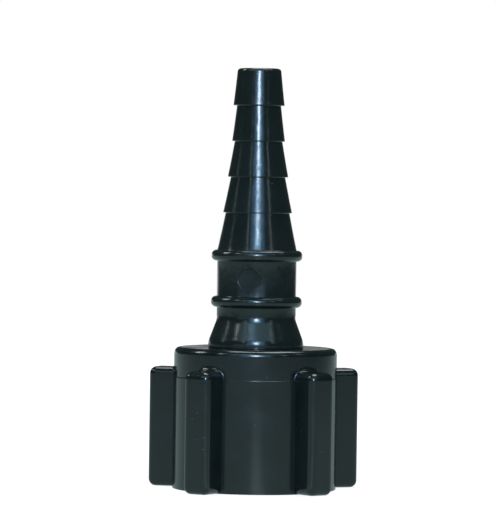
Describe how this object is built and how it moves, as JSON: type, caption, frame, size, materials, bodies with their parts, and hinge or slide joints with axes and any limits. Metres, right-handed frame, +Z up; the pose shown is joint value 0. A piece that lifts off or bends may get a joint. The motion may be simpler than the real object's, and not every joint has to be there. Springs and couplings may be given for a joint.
{
  "type": "oxygen outlet adapter",
  "caption": "Black moulded hose-barb stem that swivels in a winged hand-tight nut, joining soft oxygen tubing to a threaded gas outlet.",
  "frame": {"origin": "centre of the nut's open mouth, in the plane of the rim that the part stands on", "axes": "+Z up along the common axis of nut and stem, towards the hose tip; -Y is the front, midway between two wings; +X to the right"},
  "size_m": [0.025, 0.0238, 0.05],
  "materials": {
    "nut_plastic": "satin black injection-moulded plastic",
    "stem_plastic": "glossy black injection-moulded plastic"
  },
  "bodies": {
    "nut": {"wing_nut": "nut_plastic"},
    "stem": {"barbed_stem": "stem_plastic"}
  },
  "joints": [
    {"name": "stem_swivel", "type": "hinge", "parent": "nut", "child": "stem", "pos_m": [0, 0, 0.0168], "axis": [0, 0, 1], "continuous": true}
  ]
}
